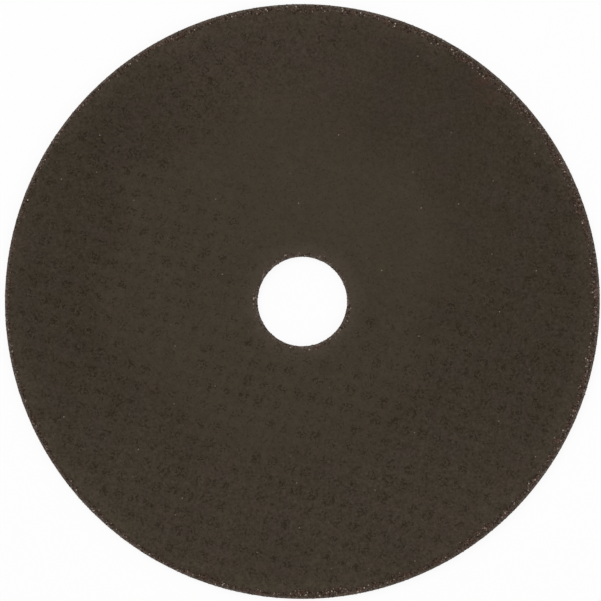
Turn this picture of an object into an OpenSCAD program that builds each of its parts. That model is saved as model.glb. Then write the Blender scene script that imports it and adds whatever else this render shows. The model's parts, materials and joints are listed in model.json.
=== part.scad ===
// Flat cut-off wheel for a hand-held grinder.
// One pressed disc of resin-bonded abrasive with a plain arbor bore. A thin facing covers each side
// and stops short of the rim, so a shoulder of bare abrasive runs round both edges. Each facing was
// laid a little off centre, which makes the shoulder wider on one side of the wheel than the other.
// The glass mesh under the upper facing prints through it: the facing sank into every window of the
// mesh as the wheel was pressed, and the weft yarns lie in the slight bow and wave of the cut cloth.
// The wheel lies flat: +Z is its axis, and the origin is the centre of the bore on the lower face.

/* [Wheel] */
// Outside diameter
wheel_d = 107; // [75:0.5:125]
// Thickness over both facings
wheel_t = 1.2; // [1:0.1:3.2]
// Rounding of the rim's two corners
rim_corner_r = 0.15; // [0.05:0.05:0.3]

/* [Arbor bore] */
// Diameter of the bore, a slip fit on a 16 mm spindle boss
bore_d = 16.1; // [9.6:0.1:25.6]
// Chamfer that breaks both ends of the bore
bore_chamfer = 0.1; // [0.05:0.05:0.3]

/* [Facings] */
// Mean width of the bare shoulder between a facing and the rim
shoulder_w = 1; // [0.6:0.1:3]
// How far the shoulder lies below the facing
shoulder_drop = 0.08; // [0.04:0.02:0.14]
// How far off centre each facing was laid
facing_offset = 0.3; // [0:0.1:0.5]

/* [Mesh print] */
// Turn of the mesh about the wheel's axis
mesh_turn = -19; // [-90:1:90]
// Spacing of the warp yarns
warp_pitch = 3; // [2.5:0.1:6]
// Spacing of the weft yarns
weft_pitch = 3.3; // [2.5:0.1:6]
// Width of the ridge over a warp yarn
warp_ridge_w = 1; // [0.6:0.1:1.6]
// Width of the ridge over a weft yarn
weft_ridge_w = 1.4; // [0.6:0.1:1.6]
// Place of the warp yarn that passes nearest to the axis
warp_start = -0.1; // [-1:0.1:1]
// Place of the weft yarn that passes nearest to the axis
weft_start = -1.3; // [-1.5:0.1:1.5]
// How far a weft yarn bows between the middle of the wheel and its rim
weft_bow = 1.5; // [0:0.1:5]
// How far a weft yarn strays to either side of its row, in one S-curve from rim to rim
weft_wave = 1; // [0:0.1:2]
// How far the facing sank into a window of the mesh
print_depth = 0.06; // [0.02:0.01:0.12]
// Plain band left round the bore
bore_margin = 3; // [0.5:0.5:10]
// Plain band left inside the edge of the facing
edge_margin = 1; // [0.5:0.5:10]

/* [Hidden] */
$fn = 96;
cut = 1; // overrun of a cutter past the face that it opens

wheel_r = wheel_d / 2;
bore_r = bore_d / 2;
facing_r = wheel_r - shoulder_w;
wave_peak = 2 / (3 * sqrt(3)); // highest value of x - x^3 between 0 and 1
window_size = [warp_pitch - warp_ridge_w, weft_pitch - weft_ridge_w];
window_reach = norm(window_size) / 2;
// nearest and farthest distance of a window's middle from the axis
print_ring = [
    bore_r + bore_margin + window_reach,
    facing_r - facing_offset - edge_margin - window_reach
];

// Half section of the bare abrasive, with both rim corners rounded
module abrasive_section() {
    low = shoulder_drop;
    high = wheel_t - shoulder_drop;
    flat_r = wheel_r - rim_corner_r;
    translate([0, low]) square([flat_r, high - low]);
    translate([0, low + rim_corner_r]) square([wheel_r, high - low - 2 * rim_corner_r]);
    for (y = [low + rim_corner_r, high - rim_corner_r]) translate([flat_r, y]) circle(rim_corner_r);
}

// Facings of both sides, with the abrasive between them
module facings() {
    translate([-facing_offset, 0, 0]) cylinder(r = facing_r, h = wheel_t);
}

// Half section of the hole, with a chamfer at each end
module bore_section() {
    mouth_r = bore_r + bore_chamfer + cut;
    polygon([
        [0, -cut], [mouth_r, -cut], [bore_r, bore_chamfer],
        [bore_r, wheel_t - bore_chamfer], [mouth_r, wheel_t + cut], [0, wheel_t + cut]
    ]);
}

// How far a weft yarn lies from its straight row, at a share of the wheel's radius along it
function weft_drift(out) = weft_wave * (out - pow(out, 3)) / wave_peak - weft_bow * pow(out, 2);

// Middle of the window after warp yarn i and weft yarn j, across the warp and the weft
function window_middle(i, j) =
    let (across = warp_start + (i + 0.5) * warp_pitch)
    [across, weft_start + (j + 0.5) * weft_pitch + weft_drift(across / wheel_r)];

// Middles of all windows that lie whole inside the printed ring
function window_middles() =
    let (columns = ceil(wheel_r / warp_pitch) + 1)
    let (rows = ceil((wheel_r + weft_bow + weft_wave) / weft_pitch) + 1)
    [for (i = [-columns : columns], j = [-rows : rows])
        let (middle = window_middle(i, j), out = norm(middle))
        if (out > print_ring[0] && out < print_ring[1]) middle];

// Hollows of the mesh windows, as cutters that stand in the upper facing
module mesh_windows() {
    rotate(mesh_turn)
        for (middle = window_middles())
            translate([middle.x - window_size.x / 2, middle.y - window_size.y / 2, wheel_t - print_depth])
                cube([window_size.x, window_size.y, print_depth + cut]);
}

module abrasive_disc() {
    color([0.24, 0.21, 0.17])
    difference() {
        union() {
            rotate_extrude() abrasive_section();
            facings();
        }
        rotate_extrude() bore_section();
        mesh_windows();
    }
}

abrasive_disc();
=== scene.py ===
"""Looks of a flat cut-off wheel: printed facings, bare shoulders, and grain at the rim and the bore."""

import json
import math

import bmesh
import bpy
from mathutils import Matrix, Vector, noise


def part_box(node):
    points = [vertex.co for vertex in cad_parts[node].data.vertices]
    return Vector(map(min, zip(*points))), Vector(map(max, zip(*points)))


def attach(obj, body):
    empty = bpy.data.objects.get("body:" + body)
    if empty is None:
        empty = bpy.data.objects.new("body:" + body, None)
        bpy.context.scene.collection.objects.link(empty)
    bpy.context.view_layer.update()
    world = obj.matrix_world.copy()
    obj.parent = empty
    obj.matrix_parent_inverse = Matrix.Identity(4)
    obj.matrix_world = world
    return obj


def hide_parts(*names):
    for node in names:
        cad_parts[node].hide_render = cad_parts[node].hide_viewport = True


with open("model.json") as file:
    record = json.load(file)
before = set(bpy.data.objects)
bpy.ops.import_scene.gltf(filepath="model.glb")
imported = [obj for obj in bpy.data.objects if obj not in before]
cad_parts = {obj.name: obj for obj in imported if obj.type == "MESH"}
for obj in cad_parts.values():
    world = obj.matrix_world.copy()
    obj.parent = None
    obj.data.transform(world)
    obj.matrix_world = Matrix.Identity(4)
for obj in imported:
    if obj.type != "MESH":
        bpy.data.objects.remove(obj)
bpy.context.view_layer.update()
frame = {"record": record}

# Units: sizes are in millimetres, and meshes in metres
MM = 0.001

# The wheel, as the frame gives it
disc_low, disc_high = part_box("abrasive_disc")
bore_mount = next(m for m in frame["record"]["mounts"] if m["name"] == "arbor_bore")
WHEEL_R = max(-disc_low.x, -disc_low.y, disc_high.x, disc_high.y) / MM
THICKNESS = (disc_high.z - disc_low.z) / MM
BORE_R = bore_mount["dims"]["r_mm"]
MID_Z = THICKNESS / 2

# Its section
BORE_CHAMFER = 0.1
BORE_WORN_W = 0.35
RIM_CORNER_R = 0.15
SHOULDER_W = 1.0
SHOULDER_DROP = 0.08
FACING_OFFSET = 0.3
FACING_R = WHEEL_R - SHOULDER_W
FACING_CREST_R = FACING_R - 0.08
FACING_FOOT_R = FACING_R + 0.03

# The photograph, in pixels of its own frame
PHOTO_SIDE_PX = 601
WHEEL_MIDDLE_PX = (302.36, 301.5)
WHEEL_RADIUS_PX = 297.5
MM_PER_PX = WHEEL_R / WHEEL_RADIUS_PX

# Fineness of the wheel's mesh
RING_STEP = 0.52
SHOULDER_STEP = 0.25
RIM_CORNER_STEP = math.pi / 6
RIM_SEGMENTS = 640
FEWEST_SEGMENTS = RIM_SEGMENTS // 4

# Unevenness of the facing's edge and of the rim: depth, width of the uneven band, and waves in a radius
EDGE_RAG_DEPTH = 0.10
EDGE_RAG_W = 0.3
EDGE_RAG_WAVES = 40
RIM_RAG_DEPTH = 0.02
RIM_RAG_W = 0.2
RIM_RAG_WAVES = 90
# How far apart in the noise the two sides lie, so that each has its own
SIDES_APART = 3.0

# The glass mesh that prints through the facings
MESH_SIZES = {
    "Warp pitch": 3.0,
    "Weft pitch": 3.3,
    "Warp ridge": 1.0,
    "Weft ridge": 1.4,
    "Ridge slope": 1.2,
    "Warp start": 0.1,
    "Warp lean": 0.6,
    "Warp crowding": 0.8,
    "Weft start": -1.3,
    "Weft bow": 1.5,
    "Weft wave": 1.0,
}
WAVE_PEAK = 2 / (3 * math.sqrt(3))
UPPER_TURN = math.radians(-19)
LOWER_TURN = math.radians(-52)
PRINT_DEPTH = 0.06
# Least and greatest share of its depth that a window has by its own lot, by patches and by zones of the face
LOT_DEPTHS = (0.55, 0.95)
PATCH_DEPTHS = (0.75, 1.10)
ZONE_DEPTHS = (0.95, 1.20)

# Straying of the yarns, of the windows' outlines and of the smooth middle's edge:
# features for every millimetre, layers of detail, and reach
YARN_WANDER = (0.09, 1.0, 1.0)
WINDOW_WARP = (0.42, 1.0, 1.9)
ZONE_STRAY = (0.07, 2.0, 16.0)

# Round patches of the face, each with its middle and radius in the photograph:
# where the far side's mesh shows instead, where the print is faint, and the smoother middle
SHOW_THROUGH_PX = (((205, 105), 95), ((362, 330), 40))
FAINT_PRINT_PX = ((370, 175), 210)
FAINTNESS = 0.7
SMOOTH_MIDDLE_PX = ((280, 285), 205)
SMOOTH_MIDDLE_CORE = 0.65


def from_photo(px, py):
    """A pixel of the photograph as a place on the wheel, in millimetres."""
    return (
        (px - WHEEL_MIDDLE_PX[0]) * MM_PER_PX,
        (WHEEL_MIDDLE_PX[1] - py) * MM_PER_PX,
    )


def srgb(red, green, blue):
    """A colour read off a screen, 0 to 255, as the linear colour that a shader takes."""
    def linear(level):
        level /= 255
        return level / 12.92 if level <= 0.04045 else ((level + 0.055) / 1.055) ** 2.4
    return (linear(red), linear(green), linear(blue), 1.0)


# Node trees

class Value:
    """A socket that does arithmetic: every operation adds a Math node to its tree."""

    def __init__(self, graph, socket):
        self.graph = graph
        self.socket = socket

    def output(self, key):
        return Value(self.graph, find_socket(self.socket.node.outputs, key))

    def math(self, operation, *terms):
        return self.graph.math(operation, self, *terms)

    def __add__(self, other):
        return self.math("ADD", other)

    def __sub__(self, other):
        return self.math("SUBTRACT", other)

    def __mul__(self, other):
        return self.math("MULTIPLY", other)

    def __truediv__(self, other):
        return self.math("DIVIDE", other)

    def __rsub__(self, other):
        return self.graph.math("SUBTRACT", other, self)

    __radd__ = __add__
    __rmul__ = __mul__

    def rise(self, start, end):
        """0 below start, 1 above end, with a smooth step between them."""
        return self.graph.node(
            "ShaderNodeMapRange",
            {"interpolation_type": "SMOOTHSTEP"},
            {"Value": self, "From Min": start, "From Max": end},
        )

    def fall(self, start, end):
        """1 below start, 0 above end, with a smooth step between them."""
        return 1 - self.rise(start, end)

    def between(self, first, second):
        """Takes 0 to the first value and 1 to the second, in a straight line."""
        return self * (second - first) + first


class Graph:
    """A node tree under construction."""

    def __init__(self, tree):
        self.tree = tree

    def node(self, kind, settings={}, inputs={}, output=0):
        made = self.tree.nodes.new(kind)
        for name, setting in settings.items():
            if name == "stops":
                set_stops(made.color_ramp, setting)
            else:
                setattr(made, name, setting)
        for key, value in inputs.items():
            socket = find_socket(made.inputs, key)
            if isinstance(value, Value):
                self.tree.links.new(value.socket, socket)
            else:
                socket.default_value = value
        return Value(self, find_socket(made.outputs, output)) if made.outputs else made

    def math(self, operation, *terms):
        return self.node("ShaderNodeMath", {"operation": operation}, dict(enumerate(terms)))

    def split(self, vector):
        parts = self.node("ShaderNodeSeparateXYZ", {}, {"Vector": vector})
        return parts.output("X"), parts.output("Y"), parts.output("Z")

    def joined(self, **parts):
        return self.node("ShaderNodeCombineXYZ", {}, parts)

    def scaled(self, vector, factor):
        return self.node(
            "ShaderNodeVectorMath", {"operation": "SCALE"}, {"Vector": vector, "Scale": factor}, "Vector"
        )

    def noise(self, place, per_mm, detail=2.0, output="Fac", **inputs):
        return self.node(
            "ShaderNodeTexNoise", {}, {"Vector": place, "Scale": per_mm, "Detail": detail, **inputs}, output
        )

    def cells(self, place, per_mm, flat=False):
        return self.node(
            "ShaderNodeTexVoronoi",
            {"voronoi_dimensions": "2D" if flat else "3D"},
            {"Vector": place, "Scale": per_mm},
            "Distance",
        )

    def lot_of(self, cells):
        """A number from 0 to 1 that each cell has for itself."""
        return self.node("ShaderNodeSeparateColor", {}, {"Color": cells.output("Color")}, "Red")

    def mix(self, factor, first, second, blend="MIX"):
        return self.node(
            "ShaderNodeMix",
            {"data_type": "RGBA", "blend_type": blend},
            {"Factor_Float": factor, "A_Color": first, "B_Color": second},
            "Result_Color",
        )


def find_socket(sockets, key):
    """A socket by its place, its identifier or its name."""
    if isinstance(key, int):
        return sockets[key]
    return next((s for s in sockets if s.identifier == key), None) or sockets[key]


def set_stops(ramp, stops):
    """Fills a colour ramp that holds each colour up to the next stop."""
    ramp.interpolation = "CONSTANT"
    while len(ramp.elements) < len(stops):
        ramp.elements.new(1.0)
    for element, (place, colour) in zip(ramp.elements, stops):
        element.position = place
        element.color = colour


# The rule of the mesh print, shared by the wheel's shape and its finish

def length(x, y):
    return (x * x + y * y).math("SQRT")


def spot(x, y, middle_px, radius_px, core=0.35):
    """1 in the core of a round patch of the face, fading to 0 at its edge."""
    middle_x, middle_y = from_photo(*middle_px)
    radius = radius_px * MM_PER_PX
    return length(x - middle_x, y - middle_y).fall(core * radius, radius)


def strayed(graph, place, x, y, stray):
    """A place on the face, moved by a noise."""
    per_mm, detail, reach = stray
    stray_x, stray_y, _ = graph.split(graph.noise(place, per_mm, detail, "Color"))
    return x + (stray_x - 0.5) * reach, y + (stray_y - 0.5) * reach


def outer_zone(graph, place, x, y):
    """0 in the smoother middle of the face, 1 in the coarser zone around it, with an uneven edge."""
    x, y = strayed(graph, place, x, y, ZONE_STRAY)
    return 1 - spot(x, y, *SMOOTH_MIDDLE_PX, SMOOTH_MIDDLE_CORE)


def yarn_gap(place, name, sizes):
    """How open the mesh is between one set of yarns, 0 to 1, and which gap of theirs a place is in."""
    from_start = place - sizes[name + " start"]
    off_yarn = from_start.math("PINGPONG", sizes[name + " pitch"] / 2)
    half_ridge = sizes[name + " ridge"] / 2
    half_slope = sizes["Ridge slope"] / 2
    gap = (from_start / sizes[name + " pitch"]).math("FLOOR")
    return off_yarn.rise(half_ridge - half_slope, half_ridge + half_slope), gap


def windows_of_mesh(graph, x, y, turn_cos, turn_sin, sizes):
    """How open one glass mesh is: 0 over its yarns, and in each window as much as its own lot allows."""
    across = x * turn_cos + y * turn_sin
    along = y * turn_cos - x * turn_sin
    out = across * (1 / WHEEL_R)
    bend = out * out
    warp = across + bend * sizes["Warp crowding"] - along * sizes["Warp lean"] * (1 / WHEEL_R)
    weft = along + bend * sizes["Weft bow"] - (out - bend * out) * sizes["Weft wave"] * (1 / WAVE_PEAK)
    warp_open, column = yarn_gap(warp, "Warp", sizes)
    weft_open, row = yarn_gap(weft, "Weft", sizes)
    window = graph.joined(X=column, Y=row)
    lot = graph.node("ShaderNodeTexWhiteNoise", {"noise_dimensions": "2D"}, {"Vector": window}, "Value")
    return weft_open * warp_open * lot.between(*LOT_DEPTHS)


def mesh_print(graph, place, sizes):
    """How deep the facing sank, as a share of the print's depth. The yarns wander a little."""
    face_x, face_y, z = graph.split(place)
    x, y = strayed(graph, place, face_x, face_y, YARN_WANDER)
    x, y = strayed(graph, place, x, y, WINDOW_WARP)
    upper = z.math("GREATER_THAN", MID_Z)

    def mesh_on(side):
        turn_cos = side.between(math.cos(LOWER_TURN), math.cos(UPPER_TURN))
        turn_sin = side.between(math.sin(LOWER_TURN), math.sin(UPPER_TURN))
        return windows_of_mesh(graph, x, y, turn_cos, turn_sin, sizes)

    own, other = mesh_on(upper), mesh_on(1 - upper)
    show_through = sum(spot(x, y, *patch) for patch in SHOW_THROUGH_PX)
    windows = own + (other - own) * show_through
    patches = graph.noise(place, per_mm=0.06, detail=1.0).rise(0.30, 0.60).between(*PATCH_DEPTHS)
    zones = outer_zone(graph, place, face_x, face_y).between(*ZONE_DEPTHS)
    return windows * (zones * patches) * (1 - spot(x, y, *FAINT_PRINT_PX) * FAINTNESS)


# Finishes

def new_material(name):
    material = bpy.data.materials.new(name)
    material.use_nodes = True
    material.node_tree.nodes.clear()
    return material, Graph(material.node_tree)


def object_place(graph):
    """The place on the piece, in millimetres."""
    return graph.scaled(graph.node("ShaderNodeTexCoord", output="Object"), 1 / MM)


def finish_surface(graph, colour, roughness, height, bump_mm, specular):
    """A matt surface whose bump is given in millimetres."""
    normal = graph.node(
        "ShaderNodeBump", {}, {"Strength": 1.0, "Distance": bump_mm * MM, "Height": height}, "Normal"
    )
    surface = graph.node(
        "ShaderNodeBsdfPrincipled",
        {},
        {
            "Base Color": colour,
            "Roughness": roughness,
            "Specular IOR Level": specular,
            "Normal": normal,
        },
        "BSDF",
    )
    graph.node("ShaderNodeOutputMaterial", {}, {"Surface": surface})


# Dust: how much lies at the bore's edge, near the bore, and at the rim in thin and in thick places,
# how far past the bore it fades out, and between which radii it comes up at the rim
DUST = srgb(95, 86, 77)
BORE_DUST = 0.6
BORE_HAZE = 0.2
RIM_DUST = (0.35, 0.65)
BORE_DUST_FADE = (0.1, 0.55)
BORE_HAZE_FADE = (0.0, 4.0)
RIM_DUST_RISE = (WHEEL_R - 0.55, WHEEL_R - 0.2)
# How much of a pit the dust leaves free
PIT_CLEAN = 0.8


def edge_dust(graph, place, x, y):
    """How dusty a place is, 0 to 1: most at the bore's and the rim's edge, some near the bore, else none."""
    radius = length(x, y)
    past_bore = radius - BORE_R
    patchy = graph.noise(place, per_mm=1.8).rise(0.35, 0.65)
    at_bore = past_bore.fall(*BORE_DUST_FADE) * patchy * BORE_DUST
    near_bore = past_bore.fall(*BORE_HAZE_FADE) * BORE_HAZE
    at_rim = radius.rise(*RIM_DUST_RISE) * patchy.between(*RIM_DUST)
    return at_bore + near_bore + at_rim


# Bare abrasive, and the tones of its grains with the lot from which each is taken
ABRASIVE_BROWN = srgb(64, 53, 43)
ABRASIVE_RED = srgb(76, 55, 46)
# Painted shade: the dark colour of the abrasive's pits, also used to dull clouds in the grains
ABRASIVE_PIT_SHADE_AND_CLOUD = srgb(24, 16, 8)
GRAIN_TONES = (
    (0.00, srgb(40, 31, 21)),
    (0.30, srgb(58, 47, 38)),
    (0.50, srgb(76, 64, 55)),
    (0.66, srgb(86, 66, 58)),
    (0.75, srgb(98, 86, 78)),
    (0.86, srgb(120, 98, 90)),
    (0.91, srgb(128, 115, 104)),
    (0.97, srgb(166, 153, 139)),
)
# How strongly its red patches, the painted shade in its pits and the clouds in its grains show
RED_SHOWS = 0.8
ABRASIVE_PIT_SHADE_SHOWS = 0.8
GRAIN_CLOUD_SHOWS = 0.5
# How far its grains differ in height, how far the resin falls away from them, and how deep its pits are,
# all as shares of its bump
GRAIN_STEP = 0.3
RESIN_FALL = 0.4
ABRASIVE_PIT_DEPTH = 0.6
# Roughness outside and inside its pits, and of the clearest and the cloudiest grain
ABRASIVE_ROUGHNESS = (0.7, 0.9)
GRAIN_ROUGHNESS = (0.4, 0.7)


def grain_colour(graph, lot):
    return graph.node("ShaderNodeValToRGB", {"stops": GRAIN_TONES}, {"Fac": lot}, "Color")


def abrasive_look(graph, place):
    """Colour, height and pits of the abrasive: grains of many tones in brown resin, reddish in places, with
    shade painted into the pits.
    """
    cells = graph.cells(place, per_mm=3.2)
    lot = graph.lot_of(cells)
    pit_field = graph.noise(place, per_mm=2.8)
    pits = pit_field.rise(0.54, 0.62)
    reddish = graph.noise(place, per_mm=0.7).rise(0.45, 0.65)
    resin = graph.mix(reddish * RED_SHOWS, ABRASIVE_BROWN, ABRASIVE_RED)
    colour = graph.mix(cells.fall(0.30, 0.55), resin, grain_colour(graph, lot))
    # Painted shade: the pits are darkened in colour
    colour = graph.mix(pits * ABRASIVE_PIT_SHADE_SHOWS, colour, ABRASIVE_PIT_SHADE_AND_CLOUD)
    height = lot * GRAIN_STEP - cells * RESIN_FALL - pit_field.rise(0.50, 0.62) * ABRASIVE_PIT_DEPTH
    return colour, height, pits


def bare_abrasive():
    """Shoulders, rim and bore."""
    material, graph = new_material("bare_abrasive")
    place = object_place(graph)
    x, y, _ = graph.split(place)
    colour, height, pits = abrasive_look(graph, place)
    colour = graph.mix(edge_dust(graph, place, x, y) * (1 - pits * PIT_CLEAN), colour, DUST)
    roughness = pits.between(*ABRASIVE_ROUGHNESS)
    finish_surface(graph, colour, roughness, height, bump_mm=0.10, specular=0.15)
    return material


def abrasive_grain():
    """Broken grain: mostly brown, here and there rose, grey or cream."""
    material, graph = new_material("abrasive_grain")
    place = object_place(graph)
    x, y, _ = graph.split(place)
    tone = graph.node("ShaderNodeAttribute", {"attribute_name": "tone"}, {}, "Fac")
    cloud = graph.noise(place, per_mm=6.0)
    dulled = cloud.rise(0.35, 0.75) * GRAIN_CLOUD_SHOWS
    # The clouds dull the grains towards the same dark colour that paints shade into the pits
    colour = graph.mix(dulled, grain_colour(graph, tone), ABRASIVE_PIT_SHADE_AND_CLOUD)
    colour = graph.mix(edge_dust(graph, place, x, y), colour, DUST)
    roughness = cloud.between(*GRAIN_ROUGHNESS)
    finish_surface(graph, colour, roughness, cloud, bump_mm=0.02, specular=0.4)
    return material


# Resin of the facings
FACING_OLIVE = srgb(61.4, 53.8, 42.4)
FACING_DARK = srgb(53.1, 45.7, 35.5)
# Painted shade: the dark colour of the pits and of the sunken windows
FACING_PIT_SHADE = srgb(36, 28, 16)
# Lighter colour of the yarns, also used as the painted highlight on the pits' lips
FACING_YARN_AND_HIGHLIGHT = srgb(72, 64, 53)
FACING_LIP = srgb(70, 62, 50)
FACING_RUST = srgb(70, 44, 36)
SPECK_CREAM = srgb(130, 118, 98)
RUST_STAIN_PX = ((488, 88), 24)
LIGHT_TOP_PX = ((265, 45), 150)
# How dark the outer zone is, how much of that its light place at the top loses, and how dark clouds are
ZONE_DARKNESS = 0.75
TOP_LIGHTNESS = 0.7
CLOUD_DARKNESS = (-0.25, 0.55)
# How strongly each mark takes its own colour, among them the painted shade in windows and pits and the
# painted highlight on the pits' lips
YARN_SHOWS = 0.1
WINDOW_SHADE_SHOWS = 0.05
PIT_SHADE_SHOWS = 0.48
PIT_LIP_HIGHLIGHT_SHOWS = 0.5
RUST_SHOWS = 0.4
LIP_SHOWS = 0.5
# What red, green and blue are multiplied by in plum-coloured patches
PLUM_TINT = (1.0, 0.98, 1.06, 1.0)
# How much each texture lightens or darkens the resin, and how far it stands up
TEXTURE_TONES = {"fine": 0.48, "coarse": 0.4, "mottle": 0.2, "grain": 0.2}
TEXTURE_HEIGHTS = {"fine": 0.4, "coarse": 0.3, "grain": 0.1}
OUTER_TEXTURE_TONE = 0.7
# How strong the textures are in the middle and in the outer zone, and how much of that a faint place loses
ZONE_TONES = (0.9, 1.1)
FAINT_TONE = 0.2
# How much red, green and blue take of a change in tone: dark places are a little warmer than light ones
TONE_SHARES = {"Red": 0.92, "Green": 1.0, "Blue": 1.15}
# How deep the pits beside the windows are, if those in them are 1
PIT_BESIDE = 0.6
# Roughness of plain resin, and what its finest texture and its pits add
FACING_ROUGHNESS = 0.8
FINE_ROUGHNESS = 0.3
PIT_ROUGHNESS = 0.1
# The paler band inside the facing's edge: the radii between which it comes up
LIP_RISE = (FACING_R - 4.0, FACING_R - 0.2)
# The broken edge: depth of its notches and of its crumbs, how much of both the bore has,
# the radii between which bare abrasive comes up at the rim, and how far past the bore it fades out
NOTCH_DEPTH = 0.8
CRUMB_DEPTH = 1.8
BORE_BREAKS = 0.7
RIM_BREAK_RISE = (FACING_R - 0.2, FACING_R + 0.3)
BORE_BREAK_FADE = (BORE_WORN_W, BORE_WORN_W + 0.3)


def facing_resin(graph, place, x, y, outer):
    """Colour of plain resin: olive and cloudy, with an outer zone darker above and plum in patches."""
    below = (0 - y).rise(0.05 * WHEEL_R, 0.75 * WHEEL_R)
    dark = outer * (1 - below) * (1 - spot(x, y, *LIGHT_TOP_PX) * TOP_LIGHTNESS)
    cloudy = graph.noise(place, per_mm=0.12, detail=3.0).between(*CLOUD_DARKNESS)
    colour = graph.mix(dark * ZONE_DARKNESS + cloudy, FACING_OLIVE, FACING_DARK)
    plum = graph.noise(place, per_mm=0.14).rise(0.46, 0.56) * outer
    return graph.mix(plum, colour, PLUM_TINT, "MULTIPLY")


def facing_textures(graph, place):
    """Textures of the resin, each from 0 to 1."""
    return {
        "fine": graph.noise(place, per_mm=4.2, Roughness=0.7),
        "coarse": graph.noise(place, per_mm=1.3),
        "mottle": graph.noise(place, per_mm=0.28),
        "grain": graph.lot_of(graph.cells(place, per_mm=2.3)),
    }


def facing_shade(graph, place, x, y, outer, textures):
    """Light and dark of the textures, as a colour to multiply by. The outer zone has one more texture."""
    tone = sum((textures[name] - 0.5) * share for name, share in TEXTURE_TONES.items())
    tone = tone + (graph.noise(place, per_mm=1.9, detail=1.0) - 0.5) * outer * OUTER_TEXTURE_TONE
    tone = tone * outer.between(*ZONE_TONES) * (1 - spot(x, y, *FAINT_PRINT_PX) * FAINT_TONE)
    shares = {name: tone * share + 1.0 for name, share in TONE_SHARES.items()}
    return graph.node("ShaderNodeCombineColor", {}, shares, "Color")


def facing_pits(graph, place, sunk):
    """Pits in the windows of the mesh and a few beside them, and the lips of those in the windows, where a
    highlight is painted.
    """
    field = graph.noise(place, per_mm=2.4, detail=1.0, Distortion=0.4)
    in_windows = field.rise(0.51, 0.60) * sunk
    beside = field.rise(0.63, 0.68) * PIT_BESIDE
    # Painted highlight: a pale ring round each pit in the windows
    lip_highlights = (field.rise(0.42, 0.48) - field.rise(0.48, 0.54)) * sunk
    return in_windows.math("MAXIMUM", beside), lip_highlights


def pale_specks(graph, place):
    """Small specks, few and far between."""
    cells = graph.cells(place, per_mm=0.14, flat=True)
    return cells.fall(0.008, 0.022) * graph.lot_of(cells).rise(0.5, 1.0)


def facing_broken(graph, place, x, y, facing_radius):
    """1 where the facing is broken away, along its edge and round the bore."""
    notches = graph.noise(place, per_mm=0.3).rise(0.40, 0.70) * NOTCH_DEPTH
    broken_in = notches + (graph.noise(place, per_mm=2.2) - 0.5) * CRUMB_DEPTH
    at_rim = (facing_radius + broken_in).rise(*RIM_BREAK_RISE)
    past_bore = length(x, y) - BORE_R
    at_bore = (past_bore - broken_in * BORE_BREAKS).fall(*BORE_BREAK_FADE)
    return at_rim.math("MAXIMUM", at_bore)


def printed_facing():
    """Dark resin facing: mottled, printed by the mesh, pitted in its windows with shade painted into pits
    and windows and highlights painted on the pits' lips, broken away along its edge.
    """
    material, graph = new_material("printed_facing")
    place = object_place(graph)
    x, y, _ = graph.split(place)
    facing_radius = length(x + FACING_OFFSET, y)
    outer = outer_zone(graph, place, x, y)
    textures = facing_textures(graph, place)
    windows = mesh_print(graph, place, MESH_SIZES)
    sunk = windows.rise(0.15, 0.75)
    pits, pit_lip_highlights = facing_pits(graph, place, sunk)

    colour = facing_resin(graph, place, x, y, outer)
    # The yarns' lighter colour, and the painted highlight on the pits' lips
    colour = graph.mix((1 - windows) * YARN_SHOWS + pit_lip_highlights * PIT_LIP_HIGHLIGHT_SHOWS, colour, FACING_YARN_AND_HIGHLIGHT)
    # Painted shade: pits and sunken windows darkened in colour
    colour = graph.mix(pits * PIT_SHADE_SHOWS + sunk * WINDOW_SHADE_SHOWS, colour, FACING_PIT_SHADE)
    rust = spot(x, y, *RUST_STAIN_PX) * graph.noise(place, per_mm=0.5).rise(0.4, 0.7)
    colour = graph.mix(rust * RUST_SHOWS, colour, FACING_RUST)
    lip = facing_radius.rise(*LIP_RISE) * graph.noise(place, per_mm=0.08).rise(0.3, 0.6)
    colour = graph.mix(lip * LIP_SHOWS, colour, FACING_LIP)
    colour = graph.mix(1.0, colour, facing_shade(graph, place, x, y, outer, textures), "MULTIPLY")
    colour = graph.mix(pale_specks(graph, place), colour, SPECK_CREAM)

    broken = facing_broken(graph, place, x, y, facing_radius)
    abrasive, abrasive_height, abrasive_pits = abrasive_look(graph, place)
    colour = graph.mix(broken, colour, abrasive)
    dust = edge_dust(graph, place, x, y) * (1 - broken * abrasive_pits * PIT_CLEAN)
    colour = graph.mix(dust, colour, DUST)

    roughness = (textures["fine"] - 0.5) * FINE_ROUGHNESS + pits * PIT_ROUGHNESS + FACING_ROUGHNESS
    relief = sum(textures[name] * share for name, share in TEXTURE_HEIGHTS.items())
    height = relief - pits + abrasive_height * broken
    finish_surface(graph, colour, roughness, height, bump_mm=0.05, specular=0.1)
    return material


# The wheel's shape

def circle_count(radius):
    """How many points a ring of this radius has: it doubles outwards, to keep the faces even."""
    count = RIM_SEGMENTS
    while count > FEWEST_SEGMENTS and radius < WHEEL_R * count / (2 * RIM_SEGMENTS):
        count //= 2
    return count


def even_steps(start, end, step):
    """Evenly spaced values after start, up to end."""
    count = max(1, round((end - start) / step))
    return [start + (end - start) * (i + 1) / count for i in range(count)]


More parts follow.
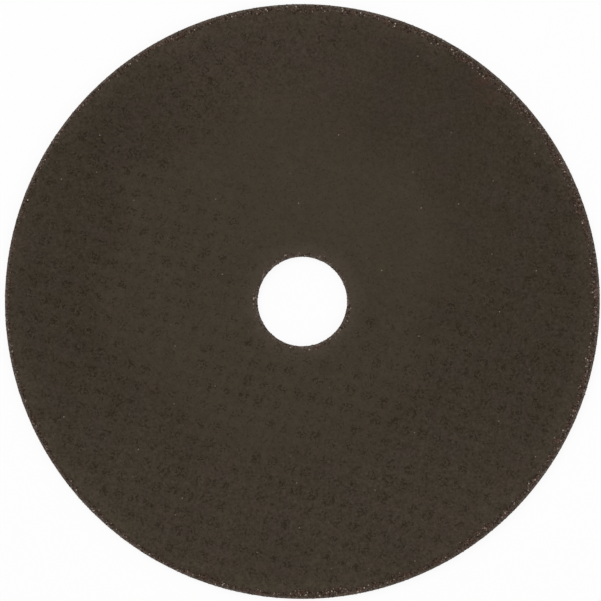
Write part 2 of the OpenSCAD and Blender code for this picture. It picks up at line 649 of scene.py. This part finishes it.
def upper_profile():
    """Half section above the middle plane, from the bore to the rim: radius, height, kind of surface."""
    top = MID_Z
    mouth = top - BORE_CHAMFER
    shoulder = top - SHOULDER_DROP
    flat_r = WHEEL_R - RIM_CORNER_R
    mouth_r = BORE_R + BORE_CHAMFER
    worn_r = mouth_r + BORE_WORN_W
    points = [(BORE_R, z, "bare") for z in (0.0, mouth / 2, mouth)]
    points += [(r, top, "bare") for r in (mouth_r, worn_r)]
    points += [(r, top, "facing") for r in even_steps(worn_r, FACING_CREST_R, RING_STEP)]
    points.append((FACING_R, top - SHOULDER_DROP / 2, "facing"))
    points.append((FACING_FOOT_R, shoulder, "bare"))
    points += [(r, shoulder, "bare") for r in even_steps(FACING_FOOT_R, flat_r, SHOULDER_STEP)]
    for turn in even_steps(0, math.pi / 2, RIM_CORNER_STEP):
        points.append((
            flat_r + RIM_CORNER_R * math.sin(turn),
            shoulder - RIM_CORNER_R + RIM_CORNER_R * math.cos(turn),
            "bare",
        ))
    points += [(WHEEL_R, z, "bare") for z in ((shoulder - RIM_CORNER_R) / 2, 0.0)]
    return points


def facing_shift(radius):
    """How far a ring is moved with the off-centre facing: fully at its edge, not at the bore and rim."""
    if radius <= FACING_R:
        return -FACING_OFFSET * (radius - BORE_R) / (FACING_R - BORE_R)
    return -FACING_OFFSET * max(0.0, WHEEL_R - RIM_CORNER_R - radius) / (SHOULDER_W - RIM_CORNER_R)


def ragged(radius, angle, side):
    """Unevenness of the facing's edge and the rim, in millimetres."""
    at = Vector((math.cos(angle), math.sin(angle), side * SIDES_APART))
    edge = max(0.0, 1 - abs(radius - FACING_R) / EDGE_RAG_W)
    rim = max(0.0, 1 - abs(radius - WHEEL_R) / RIM_RAG_W)
    edge_waves = noise.fractal(at * EDGE_RAG_WAVES, 1.0, 2.0, 3)
    rim_waves = noise.noise(at * RIM_RAG_WAVES)
    return EDGE_RAG_DEPTH * edge * edge_waves + RIM_RAG_DEPTH * rim * rim_waves


def wheel_mesh():
    """The closed wheel as rings of points, with attributes that say where facing and bare abrasive are."""
    upper = upper_profile()
    lower = [(r, -z, kind) for r, z, kind in reversed(upper)][1:-1]
    mesh = bmesh.new()
    facing_layer = mesh.verts.layers.float.new("facing")
    bare_layer = mesh.verts.layers.float.new("bare")
    rings = []
    for radius, height, kind in upper + lower:
        count = circle_count(radius)
        ring = []
        for i in range(count):
            angle = 2 * math.pi * i / count
            reach = radius + ragged(radius, angle, math.copysign(1, height))
            x = reach * math.cos(angle) + facing_shift(radius)
            vert = mesh.verts.new(Vector((x, reach * math.sin(angle), MID_Z + height)) * MM)
            vert[facing_layer] = float(kind == "facing")
            vert[bare_layer] = float(kind == "bare")
            ring.append(vert)
        rings.append(ring)
    for ring, following in zip(rings, rings[1:] + rings[:1]):
        join_rings(mesh, ring, following)
    bmesh.ops.recalc_face_normals(mesh, faces=mesh.faces[:])
    data = bpy.data.meshes.new("cut_off_wheel")
    mesh.to_mesh(data)
    mesh.free()
    data.shade_smooth()
    return data


def join_rings(mesh, ring, following):
    """Faces between two rings, of which one may have twice the points of the other."""
    coarse, fine = sorted((ring, following), key=len)
    for i in range(len(coarse)):
        here, beyond = coarse[i], coarse[(i + 1) % len(coarse)]
        if len(fine) == len(coarse):
            mesh.faces.new((here, fine[i], fine[(i + 1) % len(fine)], beyond))
        else:
            first, middle, last = (fine[(2 * i + k) % len(fine)] for k in range(3))
            mesh.faces.new((here, first, middle))
            mesh.faces.new((here, middle, beyond))
            mesh.faces.new((beyond, middle, last))


# Geometry trees

def geometry_tree(name, sizes):
    """An empty tree with a geometry socket each way and a named input for each size."""
    tree = bpy.data.node_groups.new(name, "GeometryNodeTree")
    tree.interface.new_socket("Geometry", in_out="INPUT", socket_type="NodeSocketGeometry")
    for size, value in sizes.items():
        kind = "NodeSocketInt" if isinstance(value, int) else "NodeSocketFloat"
        tree.interface.new_socket(size, in_out="INPUT", socket_type=kind)
    tree.interface.new_socket("Geometry", in_out="OUTPUT", socket_type="NodeSocketGeometry")
    graph = Graph(tree)
    given = graph.node("NodeGroupInput", {}, {}, "Geometry")
    return graph, given, {size: given.output(size) for size in sizes}


def apply_tree(piece, graph, sizes):
    """Runs a tree on a piece and leaves the result as its plain mesh."""
    modifier = piece.modifiers.new(graph.tree.name, "NODES")
    modifier.node_group = graph.tree
    for item in graph.tree.interface.items_tree:
        if item.in_out == "INPUT" and item.name in sizes:
            modifier[item.identifier] = sizes[item.name]
    depsgraph = bpy.context.evaluated_depsgraph_get()
    made = bpy.data.meshes.new_from_object(
        piece.evaluated_get(depsgraph), preserve_all_data_layers=True, depsgraph=depsgraph
    )
    piece.modifiers.clear()
    piece.data = made


def named(graph, name):
    return graph.node("GeometryNodeInputNamedAttribute", {"data_type": "FLOAT"}, {"Name": name}, "Attribute")


def mesh_place(graph):
    """The place of a point of the mesh, in millimetres."""
    return graph.scaled(graph.node("GeometryNodeInputPosition"), 1 / MM)


# How bare a face has to be for the bare finish, and a corner of it for grains
BARE_FOR_FINISH = 0.6
BARE_FOR_GRAINS = 0.9


def press_print(wheel, facing_finish, bare_finish):
    """Presses the mesh print into both facings and gives facing and bare abrasive their finishes."""
    sizes = {**MESH_SIZES, "Print depth": PRINT_DEPTH, "Waviness": 0.02}
    graph, given, size = geometry_tree("mesh_print", sizes)
    place = mesh_place(graph)
    z = graph.split(place)[2]
    inward = z.math("GREATER_THAN", MID_Z).between(1, -1)
    sunk = mesh_print(graph, place, size) * size["Print depth"]
    wave = graph.noise(place, per_mm=0.25) * size["Waviness"]
    offset = graph.joined(Z=(sunk + wave) * inward * named(graph, "facing") * MM)
    pressed = graph.node("GeometryNodeSetPosition", {}, {"Geometry": given, "Offset": offset})
    solid = graph.node("GeometryNodeRealizeInstances", {}, {"Geometry": pressed})
    faced = graph.node("GeometryNodeSetMaterial", {}, {"Geometry": solid, "Material": facing_finish})
    bare = named(graph, "bare").math("GREATER_THAN", BARE_FOR_FINISH)
    done = graph.node(
        "GeometryNodeSetMaterial", {}, {"Geometry": faced, "Selection": bare, "Material": bare_finish}
    )
    graph.node("NodeGroupOutput", {}, {"Geometry": done})
    apply_tree(wheel, graph, sizes)


# Grains at the rim and the bore. What is measured on the mesh itself is in metres
GRAIN_SIZES = {
    "Spacing": 0.30 * MM,
    "Density": 9.0 / MM ** 2,
    "Smallest": 0.09 * MM,
    "Largest": 0.22 * MM,
    "Flatness": 0.4,
    "Sinking": 0.5,
    "Lean": 0.5,
    "Chipping": 0.08 * MM,
    "Proud": 0.015,
    "Seed": 7,
}


def drawn(graph, least, greatest, seed):
    """A number drawn by lot for each grain."""
    return graph.node(
        "FunctionNodeRandomValue",
        {"data_type": "FLOAT"},
        {"Min_001": least, "Max_001": greatest, "Seed": seed},
        "Value_001",
    )


def grain_points(graph, given, place, size):
    """Points on the bare surfaces, crowded in some places and sparse in others."""
    crowded = graph.noise(place, per_mm=0.55, detail=1.0).rise(0.32, 0.60)
    return graph.node(
        "GeometryNodeDistributePointsOnFaces",
        {"distribute_method": "POISSON"},
        {
            "Mesh": given,
            "Distance Min": size["Spacing"],
            "Density Max": size["Density"],
            "Density Factor": named(graph, "bare").math("GREATER_THAN", BARE_FOR_GRAINS) * crowded,
            "Seed": size["Seed"],
        },
        "Points",
    )


def grain_lumps(graph, points, size):
    """A flat lump, half sunk, on each point, with a tone of its own."""
    radius = drawn(graph, size["Smallest"], size["Largest"], size["Seed"] + 1)
    spin = graph.node(
        "FunctionNodeRandomValue",
        {"data_type": "FLOAT_VECTOR"},
        {
            "Min": graph.joined(X=size["Lean"] * -1, Y=size["Lean"] * -1),
            "Max": graph.joined(X=size["Lean"], Y=size["Lean"], Z=math.tau),
            "Seed": size["Seed"] + 2,
        },
        "Value",
    )
    tone = drawn(graph, 0.0, 1.0, size["Seed"] + 3)
    turned = graph.node(
        "FunctionNodeRotateRotation",
        {"rotation_space": "LOCAL"},
        {"Rotation": points.output("Rotation"), "Rotate By": spin},
    )
    lump = graph.node("GeometryNodeMeshIcoSphere", {}, {"Radius": 1.0, "Subdivisions": 1}, "Mesh")
    stretch = graph.joined(X=radius, Y=radius, Z=radius * size["Flatness"])
    inward = graph.scaled(points.output("Normal"), radius * size["Flatness"] * size["Sinking"] * -1)
    sunk = graph.node("GeometryNodeSetPosition", {}, {"Geometry": points, "Offset": inward})
    placed = graph.node(
        "GeometryNodeInstanceOnPoints",
        {},
        {"Points": sunk, "Instance": lump, "Rotation": turned, "Scale": stretch},
    )
    toned = graph.node(
        "GeometryNodeStoreNamedAttribute",
        {"data_type": "FLOAT", "domain": "INSTANCE"},
        {"Geometry": placed, "Name": "tone", "Value": tone},
    )
    return graph.node("GeometryNodeRealizeInstances", {}, {"Geometry": toned})


def chipped_and_flush(graph, lumps, place, size):
    """Breaks the lumps' shape up, then presses it level with both faces of the wheel."""
    rough = graph.noise(place, per_mm=4.0, detail=0.0, output="Color")
    chip = graph.node(
        "ShaderNodeVectorMath", {"operation": "SUBTRACT"}, {0: rough, 1: (0.5, 0.5, 0.5)}, "Vector"
    )
    chipped = graph.node(
        "GeometryNodeSetPosition", {}, {"Geometry": lumps, "Offset": graph.scaled(chip, size["Chipping"])}
    )
    x, y, z = graph.split(place)
    level = z.math("MAXIMUM", size["Proud"] * -1).math("MINIMUM", size["Proud"] + THICKNESS)
    pressed = graph.scaled(graph.joined(X=x, Y=y, Z=level), MM)
    return graph.node("GeometryNodeSetPosition", {}, {"Geometry": chipped, "Position": pressed})


def scatter_grains(grains, finish):
    """Replaces a copy of the wheel by the grains that stand in its bare surfaces."""
    graph, given, size = geometry_tree("abrasive_grains", GRAIN_SIZES)
    place = mesh_place(graph)
    lumps = grain_lumps(graph, grain_points(graph, given, place, size), size)
    flush = chipped_and_flush(graph, lumps, place, size)
    faceted = graph.node("GeometryNodeSetShadeSmooth", {}, {"Geometry": flush, "Shade Smooth": False})
    done = graph.node("GeometryNodeSetMaterial", {}, {"Geometry": faceted, "Material": finish})
    graph.node("NodeGroupOutput", {}, {"Geometry": done})
    apply_tree(grains, graph, GRAIN_SIZES)


def add_piece(name, data):
    piece = bpy.data.objects.new(name, data)
    bpy.context.scene.collection.objects.link(piece)
    return piece


# Stage, light and camera, with sizes in metres

WHITE = (1.0, 1.0, 1.0, 1.0)
FLOOR_WHITE = (0.9, 0.9, 0.9, 1.0)
STAGE_SIDE = 4.0
STAGE_GLOW = 0.9


def white_for_the_eye(graph):
    """1 for what the camera sees directly, in gloss or through glass."""
    rays = graph.node("ShaderNodeLightPath", {}, {}, "Is Camera Ray")
    seen = rays.math("MAXIMUM", rays.output("Is Glossy Ray"))
    return seen.math("MAXIMUM", rays.output("Is Transmission Ray"))


def add_stage():
    """A white floor that keeps a faint shadow."""
    mesh = bmesh.new()
    bmesh.ops.create_grid(mesh, x_segments=1, y_segments=1, size=STAGE_SIDE / 2)
    data = bpy.data.meshes.new("floor")
    mesh.to_mesh(data)
    mesh.free()
    material, graph = new_material("white_floor")
    lit = graph.node("ShaderNodeBsdfDiffuse", {}, {"Color": FLOOR_WHITE}, "BSDF")
    glow = graph.node("ShaderNodeEmission", {}, {"Color": WHITE}, "Emission")
    shown = graph.node(
        "ShaderNodeMixShader", {}, {0: white_for_the_eye(graph) * STAGE_GLOW, 1: lit, 2: glow}, "Shader"
    )
    graph.node("ShaderNodeOutputMaterial", {}, {"Surface": shown})
    data.materials.append(material)
    add_piece("floor", data)


WORLD_LEVEL = 0.55
# Name, place, side and power of each lamp
LAMPS = (
    ("key", (-0.26, 0.30, 0.46), 0.40, 1.5),
    ("fill", (0.42, -0.20, 0.40), 0.40, 0.9),
)


def add_light():
    """Soft studio light: an even room and two broad lamps, at a level where colours render as written."""
    world = bpy.data.worlds.new("studio")
    bpy.context.scene.world = world
    world.use_nodes = True
    world.node_tree.nodes.clear()
    graph = Graph(world.node_tree)
    strength = white_for_the_eye(graph).between(WORLD_LEVEL, 1)
    sky = graph.node("ShaderNodeBackground", {}, {"Color": WHITE, "Strength": strength}, "Background")
    graph.node("ShaderNodeOutputWorld", {}, {"Surface": sky})
    for name, place, side, power in LAMPS:
        lamp = bpy.data.lights.new(name, "AREA")
        lamp.size = side
        lamp.energy = power
        holder = add_piece(name, lamp)
        holder.location = place
        holder.rotation_euler = (-Vector(place)).to_track_quat("-Z", "Y").to_euler()


CAMERA_DISTANCE = 0.9
CAMERA_NEAREST = 0.01


def add_camera():
    """Looks straight down on the wheel, framed as in the photograph."""
    camera = bpy.data.cameras.new("camera")
    camera.lens = camera.sensor_width * CAMERA_DISTANCE / (PHOTO_SIDE_PX * MM_PER_PX * MM)
    camera.clip_start = CAMERA_NEAREST
    holder = add_piece("camera", camera)
    middle_x, middle_y = from_photo(PHOTO_SIDE_PX / 2, PHOTO_SIDE_PX / 2)
    holder.location = (middle_x * MM, middle_y * MM, THICKNESS * MM + CAMERA_DISTANCE)
    bpy.context.scene.camera = holder


# Making

bpy.context.scene.view_settings.view_transform = "Standard"
add_stage()
add_light()
add_camera()

blank = wheel_mesh()
wheel = add_piece("cut_off_wheel", blank)
grains = add_piece("rim_and_bore_grains", blank.copy())
press_print(wheel, printed_facing(), bare_abrasive())
scatter_grains(grains, abrasive_grain())

for piece in (wheel, grains):
    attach(piece, "root")
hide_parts("abrasive_disc")
